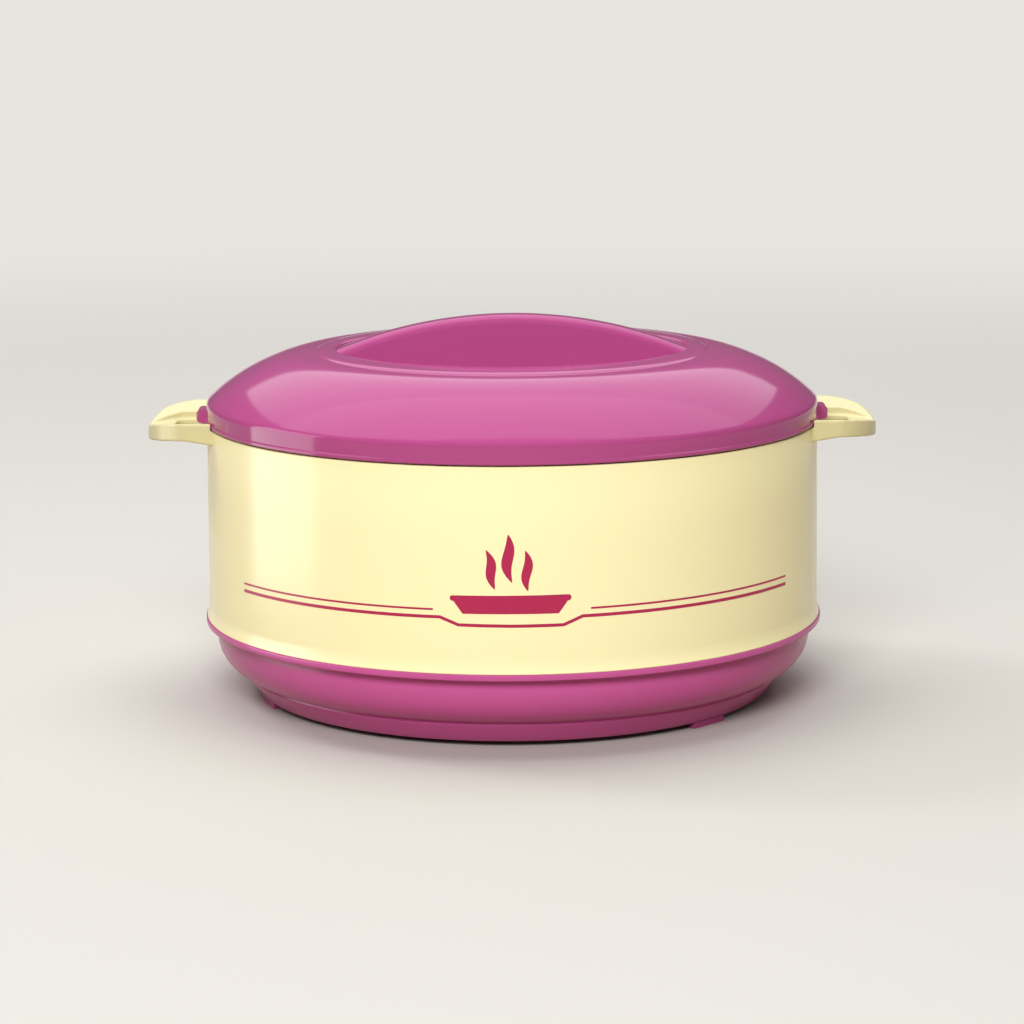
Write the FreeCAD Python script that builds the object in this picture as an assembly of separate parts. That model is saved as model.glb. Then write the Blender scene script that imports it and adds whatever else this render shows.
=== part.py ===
# Insulated round casserole for flat breads: double-walled base, lift-off twist-lock lid.
# Millimetres. +Z is up, +X points to the right handle, -Y to the front. Z = 0 is under the feet.
import math
import os

import FreeCAD
import Part

os.makedirs("parts", exist_ok=True)

Vector = FreeCAD.Vector

# Driving dimensions of the outside
foot_height = 2.3
base_flange_radius = 123.0
base_flange_bottom = 30.1
edge_rounding = 0.5
body_bottom = 32.4
body_bottom_radius = 121.7
body_flare_radius = 122.7
body_flare_height = 6.0
body_top = 109.6
body_top_radius = 121.15
skirt_bottom = 110.3
skirt_radius = 121.8
lid_top = 138.0
grip_top = 151.0
handle_reach = 144.6
handle_crest = 112.6

# Walls and clearances
wall = 2.4
steel = 0.6
gap = 0.15

# Base cover
ring_radius = 102.1
ring_wall = 3.2
bowl_start = (118.2, 28.7)
bowl_middle = (116.3, 17.2)
bowl_end = (108.5, 11.0)
groove_depth = 1.2
floor_under = 8.8
spigot_radius = 118.9
spigot_top = 40.0
plug_radius = 12.0
plug_neck_radius = 9.9
plug_head = 1.6
plug_chamfer = 0.5
foot_angles = (-42.5, 77.5, 197.5)
foot_half_angle = 5.0
foot_tongue = 4.0
tongue_inner = 99.9
tongue_outer = 101.1
tongue_half_angle = 4.0

# Collar, steel bowl and seal
collar_radius = 115.6
collar_neck_radius = 114.4
collar_inner_radius = 112.2
collar_step = 114.8
collar_top = 116.6
rim_top = 117.6
rim_radius = 116.0
bowl_top_radius = 106.2
bowl_low_radius = 102.0
bowl_corner = 15.0
bowl_floor = 44.0
seal_inner = 107.6
seal_outer = 112.8
seal_top = 119.85

# Bayonet: four tabs in the lid skirt turn under four keepers on the collar
tab_count = 4
tab_first_angle = 45.0
tab_half_angle = 2.0
tab_inner_radius = 116.5
tab_outer_radius = 119.9
tab_bottom = 110.7
tab_top = 112.2
keeper_half_angle = 2.2
keeper_offset = -5.2
keeper_bottom = 112.8
keeper_top = 114.6
keeper_radius = 118.8
keeper_root = 115.1

# Lid dome: radius, height and slope in degrees at five stations, rim first
dome_stations = (
    (120.2, 118.9, 43.0),
    (109.5, 127.1, 32.3),
    (98.0, 132.9, 22.0),
    (88.5, 135.9, 12.0),
    (78.0, 137.0, 1.0),
)
shoulder_start = 116.6
shoulder_middle = (121.35, 118.0)
plateau_radius = 76.8
plateau_rise = 0.6

# Grip: an oval dish with a bridge across it, along X
dish_half_length = 69.5
dish_half_width = 57.5
dish_depth = 15.0
grip_arc_radius = 182.0
grip_half_thickness = 6.2
grip_draft = 8.0
grip_rounding = 4.6
bridge_root = 119.5

# Lugs on the lid rim
lug_reach = 125.4
lug_root = 115.0
lug_half_width = 5.6
lug_bottom = 108.8
lug_top = 114.1
lug_rounding = 1.8

# Lid inside
liner_bottom = 108.8
liner_radius = 104.4
liner_flange_radius = 111.5
liner_flange_bottom = 119.9
liner_flange_top = 121.5
liner_wall = 1.8
rib_inner = 111.7
rib_outer = 113.6
rib_bottom = 120.1

# Handles
handle_half_width = 34.0
handle_crest_start = 33.0
handle_dip = 5.4
handle_tip_side = (142.3, 17.9)
handle_corner = (138.4, 26.6)
handle_root_reach = 128.0
handle_bottom_middle = 102.2
handle_bottom_slope = 0.11
handle_floor = 107.3
handle_floor_under = 105.0
hollow_start_radius = 128.5
handle_rim_wall = 3.0
lid_clearance_radius = 122.6
lid_clearance_floor = 108.3
pocket_half_width = 17.5
pocket_shoulder = (133.0, 17.5)
pocket_bend = (139.2, 11.2)
pocket_end = (144.0, 3.0)
slot_inner = 124.6
slot_outer = 134.6
slot_half_width = 15.0
slot_corner = 4.0
gusset_start = (112.0, 103.2)
gusset_end = (129.5, 106.2)
screw_side = 25.0
screw_height = 106.5
screw_radius = 1.2
screw_head_radius = 2.2
screw_head_length = 2.0
screw_length = 10.0


def save(shape, name):
    """Write one sub-part and print its volume."""
    shape = shape.removeSplitter()
    volume = round(shape.Volume / 1000.0, 2)
    print(name, len(shape.Solids), "solids,", volume, "cm3, valid", shape.isValid())
    shape.exportStep("parts/" + name + ".step")
    return shape


def point(radius, height):
    """A point of a lathe profile, in the XZ plane."""
    return Vector(radius, 0, height)


def profile_edges(steps, place):
    """Edges through the steps: a pair is a straight run, a pair of pairs is an arc (middle, end)."""
    edges = []
    here = steps[0]
    for step in steps[1:]:
        if isinstance(step[0], tuple):
            middle, end = step
            edges.append(Part.Arc(place(*here), place(*middle), place(*end)).toShape())
            here = end
        else:
            edges.append(Part.makeLine(place(*here), place(*step)))
            here = step
    if place(*here).distanceToPoint(place(*steps[0])) > 1e-6:
        edges.append(Part.makeLine(place(*here), place(*steps[0])))
    return edges


def lathe(steps, start_angle=0.0, sweep=360.0):
    """A solid turned about Z from a closed profile of radius and height."""
    face = Part.Face(Part.Wire(profile_edges(steps, point)))
    if start_angle:
        face.rotate(Vector(0, 0, 0), Vector(0, 0, 1), start_angle)
    return face.revolve(Vector(0, 0, 0), Vector(0, 0, 1), sweep)


def ring_sector(inner, outer, low, high, middle_angle, half_angle):
    """A square-edged piece of a ring."""
    steps = [(inner, low), (outer, low), (outer, high), (inner, high)]
    return lathe(steps, middle_angle - half_angle, 2.0 * half_angle)


def disc(radius, low, high):
    return Part.makeCylinder(radius, high - low, Vector(0, 0, low))


def prism_along_x(steps, start, end):
    """A solid whose section in Y and Z runs along X."""
    wire = Part.Wire(profile_edges(steps, lambda y, z: Vector(start, y, z)))
    return Part.Face(wire).extrude(Vector(end - start, 0, 0))


def prism_along_y(steps, half_width):
    """A solid whose section in X and Z runs along Y, both ways from the middle."""
    wire = Part.Wire(profile_edges(steps, lambda x, z: Vector(x, -half_width, z)))
    return Part.Face(wire).extrude(Vector(0, 2.0 * half_width, 0))


def prism_along_z(steps, low, high):
    """A solid whose plan outline in X and Y runs upwards."""
    wire = Part.Wire(profile_edges(steps, lambda x, y: Vector(x, y, low)))
    return Part.Face(wire).extrude(Vector(0, 0, high - low))


def body_radius_at(height):
    """Outer radius of the tapered wall."""
    share = (height - body_bottom) / (body_top - body_bottom)
    return body_bottom_radius + share * (body_top_radius - body_bottom_radius)


def inset(station, amount):
    """A dome station moved inwards, square to the surface."""
    radius, height, slope = station
    angle = math.radians(slope)
    return (radius - amount * math.sin(angle), height - amount * math.cos(angle))


def dome_profile(amount, bottom):
    """Closed profile of the lid moved in by an amount, down to a bottom height."""
    side = skirt_radius - amount
    stations = [inset(station, amount) for station in dome_stations]
    share = 0.707 * amount
    shoulder = (shoulder_middle[0] - share, shoulder_middle[1] - share)
    steps = [(0, bottom), (side, bottom), (side, shoulder_start - 0.4 * amount), (shoulder, stations[0])]
    steps += [(stations[1], stations[2]), (stations[3], stations[4])]
    steps += [(plateau_radius, stations[4][1] + plateau_rise), (0, lid_top - amount)]
    return steps


def oval_dish(growth):
    """The dish in the lid top: the lower half of an ellipsoid with a straight wall above it."""
    half_length = dish_half_length + growth
    half_width = dish_half_width + growth
    depth = dish_depth + growth
    ball = Part.makeSphere(1.0)
    upper = Part.makeCylinder(1.0, 2.0)
    scale = FreeCAD.Matrix()
    scale.scale(half_length, half_width, depth)
    solid = ball.fuse(upper).transformGeometry(scale)
    solid.translate(Vector(0, 0, lid_top - 0.5))
    return solid


def grip_bridge(growth, bottom):
    """The bridge across the dish: drafted sides under an arched crest."""
    top = grip_top + growth
    half_top = grip_half_thickness + growth
    half_low = half_top + (top - bottom) * math.tan(math.radians(grip_draft))
    section = [(-half_low, bottom), (half_low, bottom), (half_top, top + 1), (-half_top, top + 1)]
    reach = dish_half_length + 6.0
    block = prism_along_x(section, -reach, reach)
    radius = grip_arc_radius + growth
    axis_start = Vector(0, -half_low - 1, grip_top - grip_arc_radius)
    arch = Part.makeCylinder(radius, 2 * half_low + 2, axis_start, Vector(0, 1, 0))
    bridge = block.common(arch)
    rounding = grip_rounding + growth
    crest_edges = []
    for edge in bridge.Edges:
        middle = edge.valueAt(0.5 * (edge.FirstParameter + edge.LastParameter))
        if middle.z > top - 8 and abs(middle.x) < dish_half_length and abs(middle.y) > 1:
            crest_edges.append(edge)
    return bridge.makeFillet(rounding, crest_edges)


def make_outer_body():
    """Tapered cream wall with the collar that carries the steel rim."""
    low_inner = body_bottom_radius - wall
    high_inner = body_top_radius - wall
    shelf = body_top - wall
    flare_top = body_bottom + body_flare_height
    flare_end = body_radius_at(flare_top)
    flare_middle = flare_end + 0.3 * (body_flare_radius - flare_end)
    steps = [
        (low_inner, body_bottom),
        (body_flare_radius, body_bottom),
        ((flare_middle, body_bottom + 0.4 * body_flare_height), (flare_end, flare_top)),
        (body_top_radius, body_top - 1.0),
        (body_top_radius - 1.0, body_top),
        (collar_radius, body_top),
        (collar_radius, collar_step),
        (collar_neck_radius, collar_step),
        (collar_neck_radius, collar_top),
        (collar_inner_radius, collar_top),
        (collar_inner_radius, shelf),
        (high_inner, shelf - 4.0),
    ]
    body = lathe(steps)
    for number in range(tab_count):
        angle = tab_first_angle + keeper_offset + 360.0 / tab_count * number
        body = body.fuse(
            ring_sector(keeper_root, keeper_radius, keeper_bottom, keeper_top, angle, keeper_half_angle)
        )
    for side in (-1, 1):
        body = body.cut(handle_screws(side, gap * 0.5))
    return body


def make_inner_bowl():
    """Drawn steel bowl with a flat rim whose edge turns down over the collar."""
    corner = 0.293 * bowl_corner
    low = bowl_low_radius
    outside_low = low + steel
    outside_corner = bowl_corner + steel
    outside_step = 0.293 * outside_corner
    under = bowl_floor - steel
    steps = [
        (0, bowl_floor),
        (low - bowl_corner, bowl_floor),
        ((low - corner, bowl_floor + corner), (low, bowl_floor + bowl_corner)),
        (bowl_top_radius, rim_top - 0.8),
        ((bowl_top_radius + 0.3, rim_top - 0.2), (bowl_top_radius + 1.0, rim_top)),
        (rim_radius - 1.4, rim_top),
        ((rim_radius - 0.4, rim_top - 0.4), (rim_radius, rim_top - 1.4)),
        (rim_radius, rim_top - 2.4),
        (rim_radius - steel, rim_top - 2.4),
        (rim_radius - steel, rim_top - steel),
        (bowl_top_radius + 1.5, rim_top - steel),
        (bowl_top_radius + steel, rim_top - 2.0),
        (outside_low, bowl_floor + bowl_corner),
        ((outside_low - outside_step, under + outside_step), (low - bowl_corner, under)),
        (0, under),
    ]
    return lathe(steps)


def base_outline_inner():
    """Inside of the base cover, from the middle of its floor out to the spigot."""
    top = floor_under + wall
    bend = (bowl_middle[0] - wall * 0.95, bowl_middle[1] + wall * 0.5)
    return [
        (0, top),
        (bowl_end[0] - wall - 2.0, top),
        (bowl_end[0] - wall * 0.6, bowl_end[1] + wall * 0.9),
        (bend, (bowl_start[0] - wall, bowl_start[1])),
        (spigot_radius - wall, body_bottom),
        (spigot_radius - wall, spigot_top),
    ]


def make_base_cover():
    """Pink lower shell: flange, round bowl, groove, standing ring and recessed floor."""
    arc = 0.3 * edge_rounding
    edge = base_flange_radius
    inner_edge = edge - edge_rounding
    outside = [
        (spigot_radius, spigot_top),
        (spigot_radius, body_bottom),
        (inner_edge, body_bottom),
        ((edge - arc, body_bottom - arc), (edge, body_bottom - edge_rounding)),
        (edge, base_flange_bottom + edge_rounding),
        ((edge - arc, base_flange_bottom + arc), (inner_edge, base_flange_bottom)),
        (bowl_start[0], base_flange_bottom),
        bowl_start,
        (bowl_middle, bowl_end),
        (bowl_end[0] - groove_depth, bowl_end[1] - 0.3),
        (bowl_end[0] - groove_depth + 0.6, bowl_end[1] - 1.4),
        (ring_radius + 0.8, foot_height + 0.8),
        (ring_radius, foot_height),
        (ring_radius - ring_wall, foot_height),
        (ring_radius - ring_wall, floor_under),
        (0, floor_under),
    ]
    cover = lathe(base_outline_inner() + outside)
    for angle in foot_angles:
        cover = cover.cut(foot_tongue_at(angle, 0.1))
    return cover.cut(disc(plug_neck_radius + 0.1, floor_under - 1.0, floor_under + wall + 1.0))


def make_plug(seat, depth):
    """Plug with a chamfered head, pushed up into the hole of a floor of the given depth."""
    head = disc(plug_radius, seat - plug_head, seat)
    head = head.makeChamfer(plug_chamfer, [head.Edges[2]])
    return head.fuse(disc(plug_neck_radius, seat, seat + depth))


def foot_tongue_at(angle, growth):
    """The tongue of a foot, or with some growth the slot that it presses into."""
    low = foot_height - 10 * growth
    high = foot_height + foot_tongue + 2 * growth
    half_angle = tongue_half_angle + growth
    return ring_sector(tongue_inner - growth, tongue_outer + growth, low, high, angle, half_angle)


def make_foot(angle):
    """Short arc of a foot with a tongue that presses up into the standing ring."""
    inner = ring_radius - ring_wall + 0.2
    pad = ring_sector(inner, ring_radius - 0.1, 0.0, foot_height, angle, foot_half_angle)
    return pad.fuse(foot_tongue_at(angle, 0.0))


def make_body_insulation():
    """Foam that fills the space between the steel bowl and the two outer shells."""
    outer_steps = [(0, floor_under + wall + gap)]
    outer_steps.append((bowl_end[0] - wall - 2.2, floor_under + wall + gap))
    outer_steps.append((bowl_end[0] - wall * 0.6 - 0.3, bowl_end[1] + wall * 0.9 + 0.1))
    bend = (bowl_middle[0] - wall * 0.95 - gap, bowl_middle[1] + wall * 0.5 + gap)
    outer_steps.append((bend, (bowl_start[0] - wall - gap, bowl_start[1] + gap)))
    spigot_inside = spigot_radius - wall - gap
    outer_steps.append((spigot_inside, body_bottom))
    outer_steps.append((spigot_inside, spigot_top + gap))
    outer_steps.append((body_radius_at(spigot_top) - wall - gap, spigot_top + gap))
    outer_steps.append((body_top_radius - wall - gap, body_top - wall - 4.2))
    outer_steps.append((collar_inner_radius - gap, body_top - wall - gap - 0.4))
    outer_steps.append((0, body_top - wall - gap - 0.4))
    foam = lathe(outer_steps)
    bowl_space = [
        (0, bowl_floor - steel - gap),
        (bowl_low_radius - bowl_corner, bowl_floor - steel - gap),
        (bowl_low_radius + steel + gap, bowl_floor + bowl_corner),
        (bowl_top_radius + steel + gap, rim_top),
        (0, rim_top),
    ]
    corner_radius = bowl_corner + steel + gap
    step = 0.293 * corner_radius
    middle = (bowl_low_radius + steel + gap - step, bowl_floor - steel - gap + step)
    bowl_space[2] = (middle, bowl_space[2])
    foam = foam.cut(lathe(bowl_space))
    for side in (-1, 1):
        foam = foam.cut(handle_screws(side, 0.3))
    return foam


def handle_outline(shrink):
    """Plan of the ear, from the +Y root round the tip."""
    side = (handle_tip_side[0] - shrink, handle_tip_side[1] - shrink * 0.4)
    corner = (handle_corner[0] - shrink * 0.75, handle_corner[1] - shrink * 0.7)
    half_width = handle_half_width - shrink
    steps = [
        (100.0, half_width),
        (handle_root_reach - shrink * 0.5, half_width),
        (corner, side),
    ]
    tip = ((handle_reach - shrink, 0), (side[0], -side[1]))
    root = ((corner[0], -corner[1]), (handle_root_reach - shrink * 0.5, -half_width))
    return steps + [tip, root, (100.0, -half_width)]


def handle_section():
    """Height of the ear across its width: high at both sides, low in the middle."""
    low_side = handle_bottom_middle + handle_bottom_slope * handle_half_width
    valley = handle_crest - handle_dip
    return [
        (-handle_half_width - 1, low_side),
        (0, handle_bottom_middle),
        (handle_half_width + 1, low_side),
        (handle_half_width + 1, handle_crest),
        (handle_crest_start, handle_crest),
        (0, valley),
        (-handle_crest_start, handle_crest),
        (-handle_half_width - 1, handle_crest),
    ]


def body_core():
    """The wall filled in, to cut a close seat in what is fixed to it."""
    low = body_bottom + body_flare_height
    high = body_top + 9
    return lathe([(0, low), (body_radius_at(low), low), (body_radius_at(high), high), (0, high)])


def make_right_handle():
    """Dished ear with a finger slot, its underside hollowed like any moulding."""
    plan = prism_along_z(handle_outline(0.0), 90.0, 130.0)
    ear = plan.common(prism_along_x(handle_section(), 100.0, 150.0))
    gusset = [
        (100.0, gusset_start[1]),
        gusset_start,
        gusset_end,
        (gusset_end[0], handle_floor),
        (100.0, handle_floor),
    ]
    ear = ear.fuse(plan.common(prism_along_y(gusset, handle_half_width)))
    pocket_plan = [
        (100.0, pocket_half_width),
        pocket_shoulder,
        (pocket_bend, pocket_end),
        (pocket_end[0], -pocket_end[1]),
        ((pocket_bend[0], -pocket_bend[1]), (pocket_shoulder[0], -pocket_shoulder[1])),
        (100.0, -pocket_half_width),
    ]
    ear = ear.cut(prism_along_z(pocket_plan, handle_floor, 130.0))
    ear = ear.cut(disc(lid_clearance_radius, lid_clearance_floor, lid_clearance_floor + 30.0))
    hollow = prism_along_z(handle_outline(handle_rim_wall), 90.0, handle_floor_under)
    hollow = hollow.cut(disc(hollow_start_radius, 80.0, 140.0))
    ear = ear.cut(hollow)
    slot_start = Vector(slot_inner, -slot_half_width, 95.0)
    slot = Part.makeBox(slot_outer - slot_inner, 2 * slot_half_width, 30.0, slot_start)
    upright = [edge for edge in slot.Edges if abs(edge.tangentAt(edge.FirstParameter).z) > 0.9]
    ear = ear.cut(slot.makeFillet(slot_corner, upright))
    ear = ear.cut(body_core())
    ear = ear.cut(handle_screws(1, gap * 0.5))
    return ear


def handle_screws(side, growth):
    """Two screws driven outwards through the wall into one handle."""
    screws = []
    for offset in (-screw_side, screw_side):
        angle = math.asin(offset / 120.0)
        outward = Vector(side * math.cos(angle), math.sin(angle), 0)
        seat = body_radius_at(screw_height) - wall * 1.02
        head_start = outward * (seat - screw_head_length - growth)
        head_start.z = screw_height
        shank_start = outward * seat
        shank_start.z = screw_height
        head_length = screw_head_length + growth
        head = Part.makeCylinder(screw_head_radius + growth, head_length, head_start, outward)
        shank = Part.makeCylinder(screw_radius + growth, screw_length + growth, shank_start, outward)
        screws.append(head.fuse(shank))
    return Part.makeCompound(screws)


def make_lug(side):
    """Rounded block that marks the lid's turn between the ends of a handle."""
    block = Part.makeBox(
        lug_reach - lug_root,
        2 * lug_half_width,
        lug_top - lug_bottom,
        Vector(lug_root, -lug_half_width, lug_bottom),
    )
    outer_edges = []
    for edge in block.Edges:
        middle = edge.valueAt(0.5 * (edge.FirstParameter + edge.LastParameter))
        if middle.x > lug_reach - 0.1:
            outer_edges.append(edge)
    block = block.makeFillet(lug_rounding, outer_edges)
    if side < 0:
        block.rotate(Vector(0, 0, 0), Vector(0, 0, 1), 180.0)
    return block


def make_lid_void(growth, bottom):
    """The hollow of the lid, moved inwards by one wall and the given growth."""
    amount = wall + growth
    space = lathe(dome_profile(amount, bottom)).cut(oval_dish(amount))
    return space.fuse(grip_bridge(-amount, bridge_root))


def make_lid_outer():
    """Domed shell with skirt, dish and bridge, two lugs and the bayonet tabs."""
    solid = lathe(dome_profile(0.0, skirt_bottom))
    solid = solid.cut(oval_dish(0.0))
    bridge = grip_bridge(0.0, bridge_root)
    solid = solid.fuse(bridge)
    shell = solid.cut(make_lid_void(0.0, skirt_bottom - 1.0))
    for side in (-1, 1):
        lug = make_lug(side).cut(disc(skirt_radius - wall, lug_bottom - 1.0, lug_top + 1.0))
        lug = lug.cut(disc(skirt_radius - 0.4, lug_bottom - 1.0, skirt_bottom))
        shell = shell.fuse(lug)
    for number in range(tab_count):
        angle = tab_first_angle + 360.0 / tab_count * number
        tab = ring_sector(tab_inner_radius, tab_outer_radius, tab_bottom, tab_top, angle, tab_half_angle)
        shell = shell.fuse(tab)
    rib = lathe([(rib_inner, rib_bottom), (rib_outer, rib_bottom), (rib_outer, 125.0), (rib_inner, 126.0)])
    rib = rib.common(lathe(dome_profile(0.5 * wall, skirt_bottom)))
    return shell.fuse(rib)


def make_lid_liner():
    """Inner lid: a shallow pan that drops into the bowl, with a flange over the seal."""
    inside = liner_radius - liner_wall
    floor_top = liner_bottom + liner_wall
    steps = [
        (0, liner_bottom),
        (liner_radius - 4.0, liner_bottom),
        ((liner_radius - 1.2, liner_bottom + 1.2), (liner_radius, liner_bottom + 4.0)),
        (liner_radius, liner_flange_bottom),
        (liner_flange_radius, liner_flange_bottom),
        (liner_flange_radius, liner_flange_top),
        (inside, liner_flange_top),
        (inside, liner_bottom + 4.0),
        ((inside - 0.6, liner_bottom + 2.6), (liner_radius - 4.0, floor_top)),
        (0, floor_top),
    ]
    return lathe(steps).cut(disc(plug_neck_radius + 0.1, liner_bottom - 1.0, floor_top + 1.0))


def make_lid_insulation():
    """Foam between the inner lid and the dome."""
    space = make_lid_void(gap, liner_bottom)
    pan = [
        (0, liner_bottom + liner_wall + gap),
        (liner_radius - 4.0, liner_bottom + liner_wall + gap),
        (liner_radius - liner_wall - gap, liner_bottom + 4.2),
        (liner_radius - liner_wall - gap, liner_flange_top + gap),
        (rib_inner - gap, liner_flange_top + gap),
        (rib_inner - gap, grip_top),
        (0, grip_top),
    ]
    return space.common(lathe(pan))


def make_lid_seal():
    """Soft ring under the flange, with two ribs that press on the steel rim."""
    steps = [
        (seal_inner, rim_top + 1.0),
        (seal_inner + 0.5, rim_top + 0.05),
        (seal_inner + 1.5, rim_top + 0.05),
        (seal_inner + 2.1, rim_top + 0.9),
        (seal_outer - 2.1, rim_top + 0.9),
        (seal_outer - 1.5, rim_top + 0.05),
        (seal_outer - 0.5, rim_top + 0.05),
        (seal_outer, rim_top + 1.0),
        (seal_outer, seal_top),
        (seal_inner, seal_top),
    ]
    return lathe(steps)


parts = {}
parts["outer_body"] = make_outer_body()
parts["inner_bowl"] = make_inner_bowl()
parts["body_insulation"] = make_body_insulation()
parts["base_cover"] = make_base_cover()
parts["base_foam_plug"] = make_plug(floor_under, wall)
for name, angle in zip(("foot_front_right", "foot_rear", "foot_left"), foot_angles):
    parts[name] = make_foot(angle)
right_handle = make_right_handle()
parts["handle_right"] = right_handle
parts["handle_left"] = right_handle.mirror(Vector(0, 0, 0), Vector(1, 0, 0))
parts["handle_screws_right"] = handle_screws(1, 0.0)
parts["handle_screws_left"] = handle_screws(-1, 0.0)
parts["lid_outer"] = make_lid_outer()
parts["lid_insulation"] = make_lid_insulation()
parts["lid_liner"] = make_lid_liner()
parts["lid_foam_plug"] = make_plug(liner_bottom, liner_wall)
parts["lid_seal"] = make_lid_seal()

for name, shape in parts.items():
    save(shape, name)
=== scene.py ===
import math
import bmesh
import bpy
from mathutils import Matrix, Vector


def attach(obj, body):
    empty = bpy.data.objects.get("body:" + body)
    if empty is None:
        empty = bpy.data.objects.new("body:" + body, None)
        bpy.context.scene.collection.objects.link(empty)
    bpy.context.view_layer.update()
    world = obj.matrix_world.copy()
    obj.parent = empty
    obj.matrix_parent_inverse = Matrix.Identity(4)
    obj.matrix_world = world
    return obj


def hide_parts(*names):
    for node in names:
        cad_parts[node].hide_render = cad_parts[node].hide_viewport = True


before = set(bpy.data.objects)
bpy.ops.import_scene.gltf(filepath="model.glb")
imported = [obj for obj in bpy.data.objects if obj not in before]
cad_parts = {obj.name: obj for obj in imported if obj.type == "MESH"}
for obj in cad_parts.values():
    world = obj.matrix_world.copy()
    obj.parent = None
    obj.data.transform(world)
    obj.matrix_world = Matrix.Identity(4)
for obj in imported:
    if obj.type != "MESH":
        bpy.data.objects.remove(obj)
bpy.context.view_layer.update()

mm = 0.001
up = Vector((0, 0, 1))
centre = Vector((0, 0, 0))


# Colours, nodes and materials

def hexColour(text, alpha=1.0):
    # sRGB hex to the linear values that shaders take
    parts = [int(text[i:i + 2], 16) / 255 for i in (0, 2, 4)]
    linear = [p / 12.92 if p <= 0.04045 else ((p + 0.055) / 1.055) ** 2.4 for p in parts]
    return (*linear, alpha)


def perMetre(sizeMm):
    return 1000.0 / sizeMm  # texture scale that gives features of this size


def addNode(tree, kind, settings=None, inputs=None):
    node = tree.nodes.new(kind)
    for name, value in (settings or {}).items():
        setattr(node, name, value)
    for name, value in (inputs or {}).items():
        if isinstance(value, bpy.types.NodeSocket):
            tree.links.new(value, node.inputs[name])
        else:
            node.inputs[name].default_value = value
    return node


def newMaterial(name):
    material = bpy.data.materials.new(name)
    material.use_nodes = True
    material.node_tree.nodes.clear()
    return material, material.node_tree


def close(tree, shader):
    addNode(tree, "ShaderNodeOutputMaterial", None, {"Surface": shader.outputs[0]})


def mouldedPlastic(name, look):
    # injection-moulded polypropylene: even colour, soft gloss, a faint orange peel from the tool
    material, tree = newMaterial(name)
    place = addNode(tree, "ShaderNodeTexCoord").outputs["Object"]
    drift = addNode(tree, "ShaderNodeTexNoise", None,
                    {"Vector": place, "Scale": perMetre(look["driftMm"]), "Detail": 2.0})
    tint = addNode(tree, "ShaderNodeMix", {"data_type": "RGBA"}, {
        "Factor": drift.outputs["Fac"],
        "A": hexColour(look["colour"]),
        "B": hexColour(look["drift"])})
    peel = addNode(tree, "ShaderNodeTexNoise", None,
                   {"Vector": place, "Scale": perMetre(look["peelMm"]), "Detail": 3.0})
    gloss = addNode(tree, "ShaderNodeMapRange", None, {
        "Value": drift.outputs["Fac"],
        "To Min": look["roughness"] - 0.03, "To Max": look["roughness"] + 0.03})
    bump = addNode(tree, "ShaderNodeBump", None,
                   {"Height": peel.outputs["Fac"], "Strength": look["peel"], "Distance": 0.02 * mm})
    shader = addNode(tree, "ShaderNodeBsdfPrincipled", None, {
        "Base Color": tint.outputs["Result"],
        "Roughness": gloss.outputs["Result"],
        "Normal": bump.outputs["Normal"],
        "Specular IOR Level": look["shine"],
        "IOR": 1.49})
    close(tree, shader)
    return material


plasticLooks = {
    "roseLidPolypropylene": {"colour": "a7457d", "drift": "ab4981", "driftMm": 90, "peelMm": 2.2,
                             "peel": 0.03, "roughness": 0.10, "shine": 0.3},
    "roseBasePolypropylene": {"colour": "c05394", "drift": "c45897", "driftMm": 80, "peelMm": 2.2,
                              "peel": 0.03, "roughness": 0.26, "shine": 0.3},
    "roseLinerPolypropylene": {"colour": "cf7aa6", "drift": "d280aa", "driftMm": 60, "peelMm": 0.9,
                               "peel": 0.12, "roughness": 0.42, "shine": 0.5},
    "creamPolypropylene": {"colour": "f9f2bb", "drift": "fbf4c1", "driftMm": 110, "peelMm": 2.6,
                           "peel": 0.02, "roughness": 0.20, "shine": 0.4},
    # the wall's cream plastic, painted darker as shade: the handles' front faces stand in shade, so this
    # copy carries that shade in its colour
    "creamHandlePaintedShade": {"colour": "d0c895", "drift": "d3cb9b", "driftMm": 30, "peelMm": 1.6,
                                 "peel": 0.05, "roughness": 0.30, "shine": 0.4},
    "printedInk": {"colour": "ae224f", "drift": "b12652", "driftMm": 20, "peelMm": 0.8,
                   "peel": 0.10, "roughness": 0.34, "shine": 0.4},
}
plastics = {name: mouldedPlastic(name, look) for name, look in plasticLooks.items()}


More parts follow.
